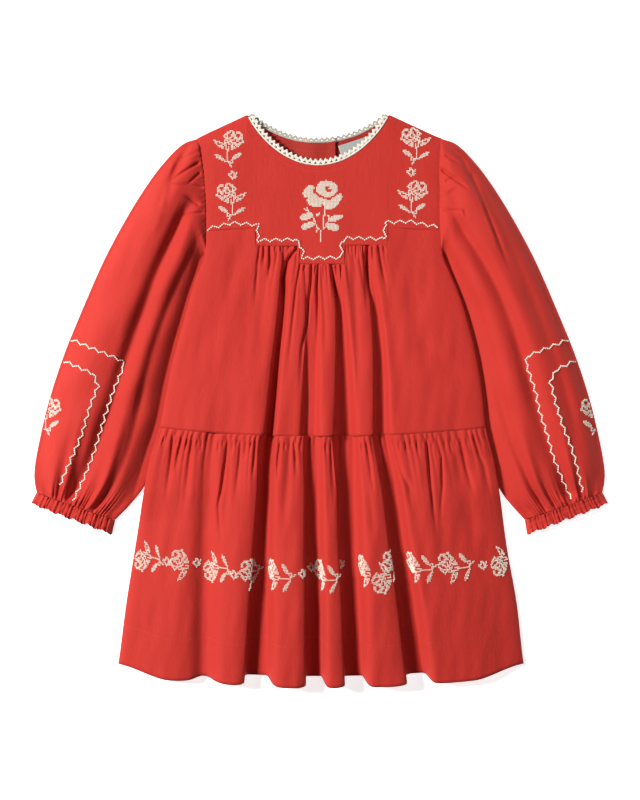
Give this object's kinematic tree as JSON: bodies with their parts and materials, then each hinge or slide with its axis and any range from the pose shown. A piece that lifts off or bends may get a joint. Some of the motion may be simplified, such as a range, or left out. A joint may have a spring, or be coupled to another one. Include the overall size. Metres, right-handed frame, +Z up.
{
  "type": "embroidered dress",
  "caption": "Child's long-sleeved smock dress in red cotton with a lace-edged round neck, stepped yoke, gathered tiers and cross-stitched roses, laid flat.",
  "frame": {"origin": "middle of the dress's outline in plan, on the surface that it lies on", "axes": "+X to the viewer's right across the dress, +Y from hem to neck, +Z up, out of the dress's front"},
  "size_m": [0.578, 0.5716, 0.0255],
  "materials": {
    "red_cotton": "matte crinkled cotton with a soft sheen",
    "ecru_cotton": "matte cotton thread and lace",
    "label_tape": "satin tape, bare",
    "button_resin": "gloss"
  },
  "bodies": {
    "root": {"yoke_front": "red_cotton", "bodice_front": "red_cotton", "skirt_front": "red_cotton", "yoke_back_right": "red_cotton", "yoke_back_left": "red_cotton", "bodice_back": "red_cotton", "skirt_back": "red_cotton", "sleeve_right": "red_cotton", "cuff_right": "red_cotton", "sleeve_left": "red_cotton", "cuff_left": "red_cotton", "neck_lace_front": "ecru_cotton", "neck_lace_back_right": "ecru_cotton", "neck_lace_back_left": "ecru_cotton", "label": "label_tape", "button_1": "button_resin", "button_2": "button_resin", "button_3": "button_resin"}
  },
  "joints": []
}
